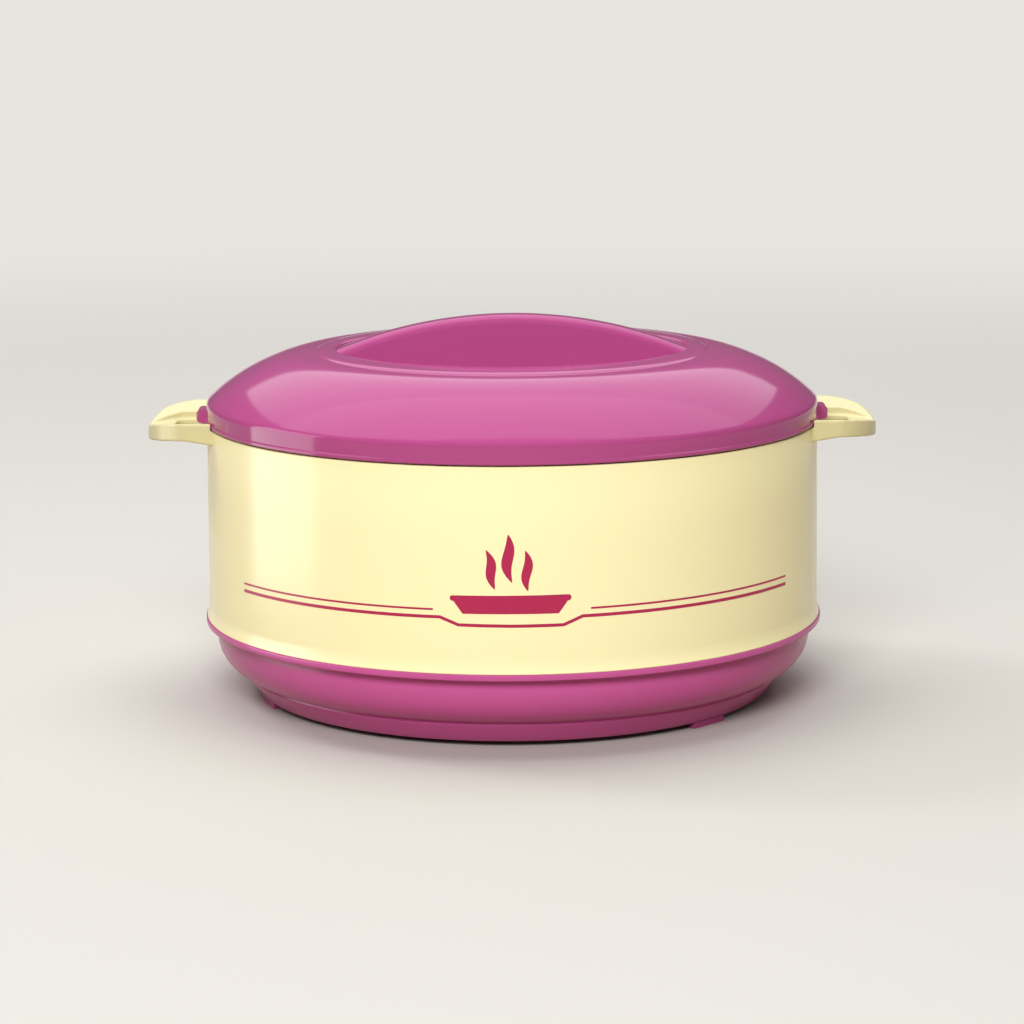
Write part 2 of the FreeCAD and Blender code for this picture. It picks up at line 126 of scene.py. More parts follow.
def spunSteel():
    # 18/8 stainless, drawn and spun-brushed: fine rings round the axis, brighter along them
    material, tree = newMaterial("spunStainlessSteel")
    place = addNode(tree, "ShaderNodeTexCoord").outputs["Object"]
    axes = addNode(tree, "ShaderNodeSeparateXYZ", None, {"Vector": place})
    flat = addNode(tree, "ShaderNodeCombineXYZ", None, {"X": axes.outputs["X"], "Y": axes.outputs["Y"]})
    radius = addNode(tree, "ShaderNodeVectorMath", {"operation": "LENGTH"}, {0: flat.outputs["Vector"]})
    turn = addNode(tree, "ShaderNodeMath", {"operation": "ARCTAN2"},
                   {0: axes.outputs["Y"], 1: axes.outputs["X"]})
    short = addNode(tree, "ShaderNodeMath", {"operation": "MULTIPLY"}, {0: turn.outputs[0], 1: 4 * mm})
    line = addNode(tree, "ShaderNodeCombineXYZ", None, {
        "X": radius.outputs["Value"], "Y": short.outputs[0], "Z": axes.outputs["Z"]})
    rings = addNode(tree, "ShaderNodeTexNoise", None,
                    {"Vector": line.outputs["Vector"], "Scale": perMetre(0.9), "Detail": 4.0})
    gloss = addNode(tree, "ShaderNodeMapRange", None, {
        "Value": rings.outputs["Fac"], "From Min": 0.3, "From Max": 0.7, "To Min": 0.20, "To Max": 0.36})
    bump = addNode(tree, "ShaderNodeBump", None,
                   {"Height": rings.outputs["Fac"], "Strength": 0.25, "Distance": 0.02 * mm})
    shader = addNode(tree, "ShaderNodeBsdfPrincipled", None, {
        "Base Color": hexColour("c9c8c6"), "Metallic": 1.0,
        "Roughness": gloss.outputs["Result"], "Normal": bump.outputs["Normal"]})
    close(tree, shader)
    return material


def softRubber(name, colour, roughness, grainMm):
    # moulded elastomer: matt skin with a fine grain, no gloss line
    material, tree = newMaterial(name)
    place = addNode(tree, "ShaderNodeTexCoord").outputs["Object"]
    grain = addNode(tree, "ShaderNodeTexNoise", None,
                    {"Vector": place, "Scale": perMetre(grainMm), "Detail": 4.0})
    dust = addNode(tree, "ShaderNodeMapRange", None, {
        "Value": grain.outputs["Fac"], "To Min": roughness - 0.08, "To Max": roughness + 0.08})
    bump = addNode(tree, "ShaderNodeBump", None,
                   {"Height": grain.outputs["Fac"], "Strength": 0.3, "Distance": 0.05 * mm})
    shader = addNode(tree, "ShaderNodeBsdfPrincipled", None, {
        "Base Color": hexColour(colour), "Roughness": dust.outputs["Result"],
        "Normal": bump.outputs["Normal"], "IOR": 1.45})
    close(tree, shader)
    return material


def rigidFoam():
    # polyurethane foam poured in place: small closed cells under a dull skin
    material, tree = newMaterial("pouredPolyurethaneFoam")
    place = addNode(tree, "ShaderNodeTexCoord").outputs["Object"]
    cells = addNode(tree, "ShaderNodeTexVoronoi", None, {"Vector": place, "Scale": perMetre(1.1)})
    tint = addNode(tree, "ShaderNodeMix", {"data_type": "RGBA"}, {
        "Factor": cells.outputs["Distance"], "A": hexColour("e9d9a8"), "B": hexColour("f4e8c4")})
    bump = addNode(tree, "ShaderNodeBump", None,
                   {"Height": cells.outputs["Distance"], "Strength": 0.6, "Distance": 0.3 * mm})
    shader = addNode(tree, "ShaderNodeBsdfPrincipled", None, {
        "Base Color": tint.outputs["Result"], "Roughness": 0.9, "Normal": bump.outputs["Normal"]})
    close(tree, shader)
    return material


def zincPlate():
    # zinc-plated steel screws: bluish grey with a mottled passivation
    material, tree = newMaterial("zincPlatedSteel")
    place = addNode(tree, "ShaderNodeTexCoord").outputs["Object"]
    mottle = addNode(tree, "ShaderNodeTexNoise", None,
                     {"Vector": place, "Scale": perMetre(1.5), "Detail": 3.0})
    tint = addNode(tree, "ShaderNodeMix", {"data_type": "RGBA"}, {
        "Factor": mottle.outputs["Fac"], "A": hexColour("a9adb2"), "B": hexColour("c3c4bd")})
    shader = addNode(tree, "ShaderNodeBsdfPrincipled", None, {
        "Base Color": tint.outputs["Result"], "Metallic": 1.0, "Roughness": 0.35})
    close(tree, shader)
    return material


steelMaterial = spunSteel()
sealMaterial = softRubber("translucentSilicone", "e6e2da", 0.45, 1.2)
footMaterial = softRubber("roseElastomer", "a8457c", 0.55, 0.8)
foamMaterial = rigidFoam()
screwMaterial = zincPlate()
print("materials made:", len(bpy.data.materials))


# Mesh helpers; all sizes go in as millimetres

def arcPoints(start, middle, end, parts):
    # points after start on the circle through three points of a profile
    (ax, ay), (bx, by), (cx, cy) = start, middle, end
    d = 2 * (ax * (by - cy) + bx * (cy - ay) + cx * (ay - by))
    aa, bb, cc = ax * ax + ay * ay, bx * bx + by * by, cx * cx + cy * cy
    ox = (aa * (by - cy) + bb * (cy - ay) + cc * (ay - by)) / d
    oy = (aa * (cx - bx) + bb * (ax - cx) + cc * (bx - ax)) / d
    radius = math.hypot(ax - ox, ay - oy)
    first = math.atan2(ay - oy, ax - ox)
    sweep = (math.atan2(cy - oy, cx - ox) - first) % math.tau
    if (math.atan2(by - oy, bx - ox) - first) % math.tau > sweep:
        sweep -= math.tau
    return [(ox + radius * math.cos(first + sweep * i / parts),
             oy + radius * math.sin(first + sweep * i / parts)) for i in range(1, parts + 1)]


def walk(steps, parts=10):
    # a pair is a corner, a pair of pairs is an arc given by its middle and end
    points = [steps[0]]
    for step in steps[1:]:
        if isinstance(step[0], tuple):
            points += arcPoints(points[-1], step[0], step[1], parts)
        else:
            points.append(step)
    return points


def wire(bm, points, plane):
    verts = [bm.verts.new(Vector(plane(*p)) * mm) for p in points]
    edges = [bm.edges.new(pair) for pair in zip(verts, verts[1:])]
    return verts, edges


def turned(steps, segments=180, parts=10):
    # a closed lathe shape from a profile of radius and height
    bm = bmesh.new()
    points = walk(steps, parts)
    verts, edges = wire(bm, points, lambda r, z: (r, 0, z))
    if points[0][0] > 0 or points[-1][0] > 0:
        edges.append(bm.edges.new((verts[-1], verts[0])))
    bmesh.ops.spin(bm, geom=verts + edges, cent=centre, axis=up, angle=math.tau,
                   steps=segments, use_merge=True)
    bmesh.ops.remove_doubles(bm, verts=bm.verts, dist=0.0005 * mm)
    bmesh.ops.recalc_face_normals(bm, faces=bm.faces)
    return bm


def sector(bm, inner, outer, low, high, middle, half, steps=6):
    # square-edged piece of a ring, angles in degrees
    corners = [(inner, low), (outer, low), (outer, high), (inner, high)]
    face = bm.faces.new([bm.verts.new(Vector((r, 0, z)) * mm) for r, z in corners])
    bmesh.ops.rotate(bm, verts=face.verts, cent=centre,
                     matrix=Matrix.Rotation(math.radians(middle - half), 3, "Z"))
    bmesh.ops.spin(bm, geom=[face, *face.edges, *face.verts], cent=centre, axis=up,
                   angle=math.radians(2 * half), steps=steps)


def prism(outline, low, high):
    # plan outline run upwards
    bm = bmesh.new()
    face = bm.faces.new([bm.verts.new(Vector((x, y, low)) * mm) for x, y in outline])
    made = bmesh.ops.extrude_face_region(bm, geom=[face])
    top = [g for g in made["geom"] if isinstance(g, bmesh.types.BMVert)]
    bmesh.ops.translate(bm, verts=top, vec=up * (high - low) * mm)
    bmesh.ops.recalc_face_normals(bm, faces=bm.faces)
    return bm


def roundEdges(bm, width, segments=3, over=30.0, only=None):
    sharp = [e for e in bm.edges
             if len(e.link_faces) == 2 and e.calc_face_angle(0) > math.radians(over)
             and (only is None or only(e))]
    bmesh.ops.bevel(bm, geom=sharp, offset=width * mm, offset_type="OFFSET", segments=segments,
                    profile=0.5, affect="EDGES", material=-1, clamp_overlap=True)


def toObject(bm, name):
    mesh = bpy.data.meshes.new(name)
    bm.to_mesh(mesh)
    bm.free()
    made = bpy.data.objects.new(name, mesh)
    bpy.context.scene.collection.objects.link(made)
    return made


def combine(target, tool, operation):
    # one exact boolean, applied, and its tool removed
    step = target.modifiers.new(operation, "BOOLEAN")
    step.operation = operation
    step.solver = "EXACT"
    step.object = tool
    graph = bpy.context.evaluated_depsgraph_get()
    mesh = bpy.data.meshes.new_from_object(target.evaluated_get(graph))
    target.modifiers.clear()
    target.data = mesh
    bpy.data.objects.remove(tool)


def finishPiece(piece, material, body, nodes=(), smoothAngle=35.0):
    bm = bmesh.new()
    bm.from_mesh(piece.data)
    bmesh.ops.dissolve_degenerate(bm, dist=0.0002 * mm, edges=bm.edges)
    for face in bm.faces:
        face.smooth = True
    for edge in bm.edges:
        edge.smooth = edge.calc_face_angle(math.pi) < math.radians(smoothAngle)
    bm.to_mesh(piece.data)
    bm.free()
    piece.data.materials.clear()
    piece.data.materials.append(material)
    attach(piece, body)
    if nodes:
        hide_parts(*nodes)
    return piece


# Outer wall with its collar and four keepers

wallShape = {"bottom": 32.4, "bottomRadius": 121.7, "top": 109.6, "topRadius": 121.15, "thick": 2.4,
             "flare": 122.7, "flareHeight": 6.0,
             "collar": 115.6, "neck": 114.4, "collarInner": 112.2, "collarStep": 114.8, "collarTop": 116.6}
keeperShape = {"inner": 115.1, "outer": 118.8, "low": 112.8, "high": 114.6, "first": 39.8, "half": 2.2}


def wallRadius(height):
    share = (height - wallShape["bottom"]) / (wallShape["top"] - wallShape["bottom"])
    return wallShape["bottomRadius"] + share * (wallShape["topRadius"] - wallShape["bottomRadius"])


def makeOuterWall():
    w = wallShape
    shelf = w["top"] - w["thick"]
    flareTop = w["bottom"] + w["flareHeight"]
    flareEnd = wallRadius(flareTop)
    flareMiddle = flareEnd + 0.3 * (w["flare"] - flareEnd)
    # two rings stand between flare and collar, so that the tall faces aren't one piece
    bm = turned([
        (w["bottomRadius"] - w["thick"], w["bottom"]), (w["flare"], w["bottom"]),
        ((flareMiddle, w["bottom"] + 0.4 * w["flareHeight"]), (flareEnd, flareTop)),
        (wallRadius(59), 59), (wallRadius(84), 84),
        (w["topRadius"], w["top"]), (w["collar"], w["top"]),
        (w["collar"], w["collarStep"]), (w["neck"], w["collarStep"]),
        (w["neck"], w["collarTop"]), (w["collarInner"], w["collarTop"]),
        (w["collarInner"], shelf), (w["topRadius"] - w["thick"], shelf - 4)], segments=240)
    roundEdges(bm, 0.6, 3, 25)
    wall = toObject(bm, "outerWall")
    k = keeperShape
    tool = bmesh.new()
    for number in range(4):
        sector(tool, k["inner"], k["outer"], k["low"], k["high"], k["first"] + 90 * number, k["half"])
    bmesh.ops.recalc_face_normals(tool, faces=tool.faces)
    roundEdges(tool, 0.3, 2, 40)
    combine(wall, toObject(tool, "keepers"), "UNION")
    return finishPiece(wall, plastics["creamPolypropylene"], "base", ["outer_body"])


makeOuterWall()
print("outer wall made")


# Printed lines and the hot-dish figure, a thin film of ink on the wall

# places are (along the wall from its front, height); an arc is given by its middle and end
ink = {"proud": 0.06, "sunk": 0.03, "stripLength": 3.0, "upperWidth": 0.75, "lowerWidth": 1.2,
       "upperRight": [(28.8, 56.6), ((78.0, 56.9), (125.5, 56.95))],
       "upperLeft": [(-122.5, 55.9), ((-78.0, 56.3), (-29.8, 56.5))],
       "lower": [(-122.5, 53.1), ((-78.0, 53.5), (-27.2, 53.7)), (-20.3, 50.95), (0, 50.65),
                 (18.5, 50.8), (25.7, 53.8), ((74.0, 54.05), (125.5, 53.95))],
       "dish": [(-18.7, 55.15), (16.75, 55.15), (20.1, 59.8), ((21.45, 60.9), (20.7, 62.15)),
                (-22.8, 61.95), ((-23.45, 60.9), (-22.1, 59.9))]}
steam = {"Middle": {"base": (-0.4, 66.85), "top": (-1.75, 84.8), "lean": -0.9, "sway": -0.85,
                    "width": 4.1},
         "Left": {"base": (-6.7, 64.25), "top": (-9.9, 79.1), "lean": 0.2, "sway": -0.8, "width": 3.65},
         "Right": {"base": (5.4, 63.7), "top": (4.5, 78.8), "lean": 0.2, "sway": -0.8, "width": 3.55}}


def film(name, outline):
    # a flat outline, cut into strips and wrapped on the taper of the wall
    bm = bmesh.new()
    face = bm.faces.new([bm.verts.new((s * mm, 0, z * mm)) for s, z in outline])
    start = min(s for s, z in outline)
    end = max(s for s, z in outline)
    place = math.floor(start / ink["stripLength"]) * ink["stripLength"]
    while place < end:
        if place > start:
            bmesh.ops.bisect_plane(bm, geom=[*bm.faces, *bm.edges, *bm.verts],
                                   plane_co=Vector((place * mm, 0, 0)), plane_no=Vector((1, 0, 0)))
        place += ink["stripLength"]
    made = bmesh.ops.extrude_face_region(bm, geom=bm.faces[:])
    front = {g for g in made["geom"] if isinstance(g, bmesh.types.BMVert)}
    for v in bm.verts:
        height = v.co.z / mm
        wall = wallRadius(height)
        radius = wall + (ink["proud"] if v in front else -ink["sunk"])
        angle = v.co.x / mm / wall
        v.co = Vector((radius * math.sin(angle), -radius * math.cos(angle), height)) * mm
    bmesh.ops.recalc_face_normals(bm, faces=bm.faces)
    piece = toObject(bm, name)
    return finishPiece(piece, plastics["printedInk"], "base")


def stripe(points, width):
    # outline of a line of even width along points
    left, right = [], []
    for i, (x, y) in enumerate(points):
        ax, ay = points[max(i - 1, 0)]
        bx, by = points[min(i + 1, len(points) - 1)]
        length = math.hypot(bx - ax, by - ay)
        nx, ny = -(by - ay) / length, (bx - ax) / length
        left.append((x + nx * width / 2, y + ny * width / 2))
        right.append((x - nx * width / 2, y - ny * width / 2))
    return left + right[::-1]


def wisp(curl):
    # S-shaped curl of steam, pointed at both ends
    (startS, startZ), (endS, endZ) = curl["base"], curl["top"]
    left, right = [], []
    for i in range(21):
        t = i / 20
        s = startS + (endS - startS) * t
        s += curl["lean"] * math.sin(math.pi * t) + curl["sway"] * math.sin(math.tau * t)
        z = startZ + (endZ - startZ) * t
        half = curl["width"] / 2 * math.sin(math.pi * t) ** 0.8 + 0.05
        left.append((s - half, z))
        right.append((s + half, z))
    return left + right[::-1]


def makePrint():
    film("printUpperRight", stripe(walk(ink["upperRight"], 24), ink["upperWidth"]))
    film("printUpperLeft", stripe(walk(ink["upperLeft"], 24), ink["upperWidth"]))
    film("printLowerLine", stripe(walk(ink["lower"], 24), ink["lowerWidth"]))
    film("printDish", walk(ink["dish"], 6))
    for place, curl in steam.items():
        film("printSteam" + place, wisp(curl))


makePrint()
print("print made")


# Base cover: flange, round bowl, groove and standing ring

baseShape = {"ring": 102.1, "ringWall": 3.2, "foot": 2.3, "flange": 123.0, "flangeLow": 30.1, "top": 32.4,
             "floor": 8.8, "thick": 2.4, "spigot": 118.9, "spigotTop": 40.0, "plugHole": 10.0}


def makeBaseCover():
    b = baseShape
    inside = [(b["plugHole"], b["floor"] + b["thick"]), (104.0, b["floor"] + b["thick"]), (107.0, 13.2),
              ((114.0, 18.4), (115.8, 28.7)), (b["spigot"] - b["thick"], b["top"]),
              (b["spigot"] - b["thick"], b["spigotTop"])]
    outside = [(b["spigot"], b["spigotTop"]), (b["spigot"], b["top"]), (b["flange"], b["top"]),
               (b["flange"], b["flangeLow"]), (118.2, b["flangeLow"]), (118.2, 28.7),
               ((116.3, 17.2), (108.5, 11.0)), (107.3, 10.7), (107.9, 9.6), (b["ring"] + 0.8, 3.1),
               (b["ring"], b["foot"]), (b["ring"] - b["ringWall"], b["foot"]),
               (b["ring"] - b["ringWall"], b["floor"]), (b["plugHole"], b["floor"])]
    bm = turned(inside + outside, segments=240, parts=14)
    roundEdges(bm, 0.45, 3, 25)
    return finishPiece(toObject(bm, "baseCover"), plastics["roseBasePolypropylene"], "base",
                       ["base_cover"])


makeBaseCover()
print("base cover made")


# Steel bowl

bowlShape = {"rimTop": 117.6, "rim": 116.0, "top": 106.2, "low": 102.0,
             "corner": 15.0, "floor": 44.0, "steel": 0.6}


def makeBowl():
    s = bowlShape
    t = s["steel"]
    c = 0.293 * s["corner"]
    outer = s["corner"] + t
    d = 0.293 * outer
    under = s["floor"] - t
    bm = turned([
        (0, s["floor"]), (s["low"] - s["corner"], s["floor"]),
        ((s["low"] - c, s["floor"] + c), (s["low"], s["floor"] + s["corner"])),
        (s["top"], s["rimTop"] - 0.8), ((s["top"] + 0.3, s["rimTop"] - 0.2), (s["top"] + 1, s["rimTop"])),
        (s["rim"] - 1.4, s["rimTop"]), ((s["rim"] - 0.4, s["rimTop"] - 0.4), (s["rim"], s["rimTop"] - 1.4)),
        (s["rim"], s["rimTop"] - 2.4), (s["rim"] - t, s["rimTop"] - 2.4),
        (s["rim"] - t, s["rimTop"] - t), (s["top"] + 1.5, s["rimTop"] - t), (s["top"] + t, s["rimTop"] - 2),
        (s["low"] + t, s["floor"] + s["corner"]),
        ((s["low"] + t - d, under + d), (s["low"] - s["corner"], under)), (0, under)], segments=240)
    return finishPiece(toObject(bm, "steelBowl"), steelMaterial, "base", ["inner_bowl"])


makeBowl()
print("steel bowl made")


# Handles: dished ears with a finger slot

earShape = {"half": 34.0, "crest": 112.6, "crestStart": 33.0, "dip": 5.4, "reach": 144.6,
            "tipSide": (142.3, 17.9), "corner": (138.4, 26.6), "root": 128.0,
            "under": 102.2, "underSlope": 0.11, "gussetStart": (112.0, 103.2), "gussetSlope": 0.1714,
            "floor": 107.3, "floorUnder": 105.0, "wall": 3.0, "hollowStart": 128.5,
            "lidRoom": 122.2, "lidRoomFloor": 109.8,
            "voxel": 0.42, "softening": 9,
            "slotStart": 124.6, "slotEnd": 134.6, "slotHalf": 15.0, "slotCorner": 4.0,
            "pocket": [(100, 17.5), (133, 17.5), ((139.2, 11.2), (144, 3)), (144, -3),
                       ((139.2, -11.2), (133, -17.5)), (100, -17.5)]}


def earOutline(shrink):
    e = earShape
    side = (e["tipSide"][0] - shrink, e["tipSide"][1] - shrink * 0.4)
    corner = (e["corner"][0] - shrink * 0.75, e["corner"][1] - shrink * 0.7)
    half = e["half"] - shrink
    root = e["root"] - shrink * 0.5
    return walk([(112, half), (root, half), (corner, side), ((e["reach"] - shrink, 0), (side[0], -side[1])),
                 ((corner[0], -corner[1]), (root, -half)), (112, -half)], 14)


def earTop(y):
    e = earShape
    return e["crest"] - e["dip"] * max(0, 1 - abs(y) / e["crestStart"])


def earUnder(x, y):
    # the dished underside, or the gusset where that hangs lower
    e = earShape
    gusset = e["gussetStart"][1] + e["gussetSlope"] * (x - e["gussetStart"][0])
    return min(e["under"] + e["underSlope"] * abs(y), gusset)


def earBlank(name):
    e = earShape
    bm = prism(earOutline(0), 0, 1)
    gussetEnd = e["gussetStart"][0] - (e["gussetStart"][1] - e["under"]) / e["gussetSlope"]
    cuts = [((0, y), (0, 1)) for y in (-e["crestStart"], 0, e["crestStart"])]
    cuts += [((gussetEnd, 0), (e["gussetSlope"], side * e["underSlope"])) for side in (-1, 1)]
    for (x, y), (nx, ny) in cuts:
        bmesh.ops.bisect_plane(bm, geom=[*bm.faces, *bm.edges, *bm.verts],
                               plane_co=Vector((x, y, 0)) * mm, plane_no=Vector((nx, ny, 0)).normalized())
    for v in bm.verts:
        x, y = v.co.x / mm, v.co.y / mm
        v.co.z = (earTop(y) if v.co.z > 0.5 * mm else earUnder(x, y)) * mm
    return toObject(bm, name)


def soften(piece, voxel, times):
    # even skin and rounded edges, as a moulding has
    skin = piece.modifiers.new("skin", "REMESH")
    skin.mode = "VOXEL"
    skin.voxel_size = voxel * mm
    ease = piece.modifiers.new("ease", "SMOOTH")
    ease.factor = 0.5
    ease.iterations = times
    graph = bpy.context.evaluated_depsgraph_get()
    mesh = bpy.data.meshes.new_from_object(piece.evaluated_get(graph))
    piece.modifiers.clear()
    piece.data = mesh


def makeEar(name, mirrorX, node):
    e = earShape
    ear = earBlank(name)
    pocket = prism(walk(e["pocket"], 8), e["floor"], 130)
    combine(ear, toObject(pocket, "pocket"), "DIFFERENCE")
    hollow = toObject(prism(earOutline(e["wall"]), 90, e["floorUnder"]), "hollow")
    keep = turned([(0, 80), (e["hollowStart"], 80), (e["hollowStart"], 140), (0, 140)], 360)
    combine(hollow, toObject(keep, "keep"), "DIFFERENCE")
    combine(ear, hollow, "DIFFERENCE")
    near, far, side = e["slotStart"], e["slotEnd"], e["slotHalf"]
    slot = prism([(near, -side), (far, -side), (far, side), (near, side)], 95, 125)
    roundEdges(slot, e["slotCorner"], 6, 30,
               lambda edge: abs(edge.verts[0].co.z - edge.verts[1].co.z) > 10 * mm)
    combine(ear, toObject(slot, "slot"), "DIFFERENCE")
    soften(ear, e["voxel"], e["softening"])
    low = e["lidRoomFloor"]
    room = turned([(0, low), (e["lidRoom"], low), (e["lidRoom"], 130), (0, 130)], 360)
    combine(ear, toObject(room, "lidRoom"), "DIFFERENCE")
    core = turned([(0, 90), (wallRadius(90), 90), (wallRadius(120), 120), (0, 120)], 360)
    combine(ear, toObject(core, "core"), "DIFFERENCE")
    if mirrorX:
        ear.data.transform(Matrix.Scale(-1, 4, Vector((1, 0, 0))))
        ear.data.flip_normals()
    # the handles take the darker copy of the cream, whose colour carries painted shade
    return finishPiece(ear, plastics["creamHandlePaintedShade"], "base", [node], 40.0)


makeEar("handleRight", False, "handle_right")
makeEar("handleLeft", True, "handle_left")
print("handles made")


# Lid: a closed shell grown ring by ring, with the bridge, tabs and lugs joined on

lidShape = {"thick": 2.4, "segments": 192, "lip": 121.5, "lipHeight": 110.3,
            "skirt": [(121.8, 110.6), (121.8, 111.5), (121.35, 112.0), (121.3, 116.6)],
            "skirtInside": [(119.7, 110.3), (119.4, 110.6), (119.4, 115.6), (118.6, 117.1)],
            "shoulder": (120.95, 117.9),
            "dome": [(120.2, 118.9), ((109.5, 127.1), (98.0, 132.9)), ((88.5, 135.9), (78.2, 137.0))],
            "domeInside": [(108.2, 125.1), (97.1, 130.7), (88.0, 133.5), (78.0, 134.6)],
            "plateau": 76.6, "plateauInside": (76.0, 135.2), "crown": 138.0,
            "dishLong": 69.5, "dishWide": 57.5, "dishDepth": 15.0, "dishRim": 1.1}
bridgeShape = {"top": 151.0, "arc": 182.0, "half": 6.2, "draft": 8.0,
               "round": 3.4, "root": 121.0, "reach": 74.0}
lugShape = {"root": 120.2, "reach": 125.4, "half": 5.6, "low": 108.8, "high": 114.1, "round": 1.8}
tabShape = {"inner": 116.5, "outer": 119.9, "low": 110.7, "high": 112.2, "first": 45.0, "half": 2.0}


def growRing(bm, edges, old, new, height):
    # extrude a ring of edges and place it on an oval of other half-axes
    made = bmesh.ops.extrude_edge_only(bm, edges=edges)["geom"]
    verts = [g for g in made if isinstance(g, bmesh.types.BMVert)]
    fresh = set(verts)
    for v in verts:
        t = math.atan2(v.co.y / old[1], v.co.x / old[0])
        v.co = Vector((new[0] * math.cos(t), new[1] * math.sin(t), height)) * mm
    return [g for g in made if isinstance(g, bmesh.types.BMEdge) and fresh.issuperset(g.verts)]


def lidOutside():
    s = lidShape
    shoulder = arcPoints(s["skirt"][-1], s["shoulder"], s["dome"][0], 5)
    rings = [((r, r), z) for r, z in s["skirt"] + shoulder + walk(s["dome"], 12)[1:]]
    edge = s["plateau"]
    top = s["crown"] - 0.4
    rings += [((edge + 1.0, edge + 1.0), 137.12), ((edge + 0.5, edge + 0.5), 137.4), ((edge, edge), top)]
    long, wide, rim = s["dishLong"], s["dishWide"], s["dishRim"]
    for share in (0.35, 0.7, 1.0):
        a = edge + (long + rim - edge) * share
        b = edge + (wide + rim - edge) * share
        rings.append(((a, b), top + 0.4 * share))
    for i in range(1, 6):
        turn = math.radians(18 * i)
        back = rim - rim * math.sin(turn)
        rings.append(((long + back, wide + back), s["crown"] - rim + rim * math.cos(turn)))
    return rings + dishRings(long, wide, s["crown"] - rim, s["dishDepth"] - rim)


def lidInside():
    s = lidShape
    t = s["thick"]
    rings = [((r, r), z) for r, z in [*s["skirtInside"], *s["domeInside"], s["plateauInside"]]]
    long, wide = s["dishLong"] + t, s["dishWide"] + t
    rings.append(((long + 0.6, wide + 0.6), s["crown"] - t))
    return rings + dishRings(long, wide, s["crown"] - t - 0.6, s["dishDepth"] - 0.6)


def dishRings(long, wide, start, depth):
    turns = [math.radians(88 * i / 16) for i in range(1, 17)]
    return [((long * math.cos(t), wide * math.cos(t)), start - depth * math.sin(t)) for t in turns]


def growSheet(bm, edges, old, rings):
    for new, height in rings:
        edges = growRing(bm, edges, old, new, height)
        old = new
    last = list({v for e in edges for v in e.verts})
    bmesh.ops.pointmerge(bm, verts=last, merge_co=Vector((0, 0, rings[-1][1] * mm)))


def makeBridge(bm):
    b = bridgeShape
    crest = [(x, b["top"] - b["arc"] + math.sqrt(b["arc"] ** 2 - x * x))
             for x in (b["reach"] * (i / 30 - 1) for i in range(61))]
    outline = [(-b["reach"], b["root"]), *crest, (b["reach"], b["root"])]
    face = bm.faces.new([bm.verts.new(Vector((x, -1, z)) * mm) for x, z in outline])
    made = bmesh.ops.extrude_face_region(bm, geom=[face])["geom"]
    far = [g for g in made if isinstance(g, bmesh.types.BMVert)]
    bmesh.ops.translate(bm, verts=far, vec=Vector((0, 2, 0)) * mm)
    slope = math.tan(math.radians(b["draft"]))
    for v in [*face.verts, *far]:
        half = b["half"] + (b["top"] - v.co.z / mm) * slope
        v.co.y = math.copysign(half * mm, v.co.y)
    bmesh.ops.recalc_face_normals(bm, faces=bm.faces)
    low = (b["root"] + 0.1) * mm
    roundEdges(bm, b["round"], 8, 40, lambda e: min(e.verts[0].co.z, e.verts[1].co.z) > low
               and abs(e.verts[0].co.y - e.verts[1].co.y) < 2 * mm)


def makeLug(side):
    g = lugShape
    root, reach, half = g["root"] * side, g["reach"] * side, g["half"]
    bm = prism([(root, -half), (reach, -half), (reach, half), (root, half)][::side], g["low"], g["high"])
    roundEdges(bm, g["round"], 4, 40, lambda e: abs(e.verts[0].co.x + e.verts[1].co.x) > 250 * mm)
    return bm


def makeLid():
    s = lidShape
    bm = bmesh.new()
    bmesh.ops.create_circle(bm, segments=s["segments"], radius=s["lip"] * mm)
    bmesh.ops.translate(bm, verts=bm.verts, vec=up * s["lipHeight"] * mm)
    first = bm.edges[:]
    growSheet(bm, first, (s["lip"], s["lip"]), lidOutside())
    growSheet(bm, first, (s["lip"], s["lip"]), lidInside())
    bmesh.ops.recalc_face_normals(bm, faces=bm.faces)
    lid = toObject(bm, "lidShell")
    bridge = bmesh.new()
    makeBridge(bridge)
    combine(lid, toObject(bridge, "bridge"), "UNION")
    extras = bmesh.new()
    t = tabShape
    for number in range(4):
        sector(extras, t["inner"], t["outer"], t["low"], t["high"], t["first"] + 90 * number, t["half"])
    bmesh.ops.recalc_face_normals(extras, faces=extras.faces)
    roundEdges(extras, 0.3, 2, 40)
    combine(lid, toObject(extras, "tabs"), "UNION")
    for side in (1, -1):
        combine(lid, toObject(makeLug(side), "lug"), "UNION")
    finishPiece(lid, plastics["roseLidPolypropylene"], "lid", ["lid_outer"])
    return lid


makeLid()
print("lid made")


# Inner lid, plugs and seal

linerShape = {"low": 108.8, "radius": 104.4, "flange": 111.5, "hole": 10.0,
              "flangeLow": 119.9, "flangeHigh": 121.5, "wall": 1.8}
plugShape = {"head": 12.0, "neck": 9.9, "lip": 1.6}
sealShape = {"low": 117.65, "high": 119.85, "inner": 107.6, "outer": 112.8, "ribDepth": 0.85}


def makeLiner():
    s = linerShape
    w = s["wall"]
    bm = turned([
        (s["hole"], s["low"]), (60.0, s["low"]), (60.8, s["low"] - 0.6), (62.2, s["low"] - 0.6),
        (63.0, s["low"]),
        (s["radius"] - 4, s["low"]), ((s["radius"] - 1.2, s["low"] + 1.2), (s["radius"], s["low"] + 4)),
        (s["radius"], s["flangeLow"]), (s["flange"], s["flangeLow"]), (s["flange"], s["flangeHigh"]),
        (s["radius"] - w, s["flangeHigh"]), (s["radius"] - w, s["low"] + 4),
        ((s["radius"] - w - 0.6, s["low"] + 2.6), (s["radius"] - 4, s["low"] + w)),
        (s["hole"], s["low"] + w)])
    roundEdges(bm, 0.3, 2, 35)
    return finishPiece(toObject(bm, "lidLiner"), plastics["roseLinerPolypropylene"], "lid",
                       ["lid_liner"])


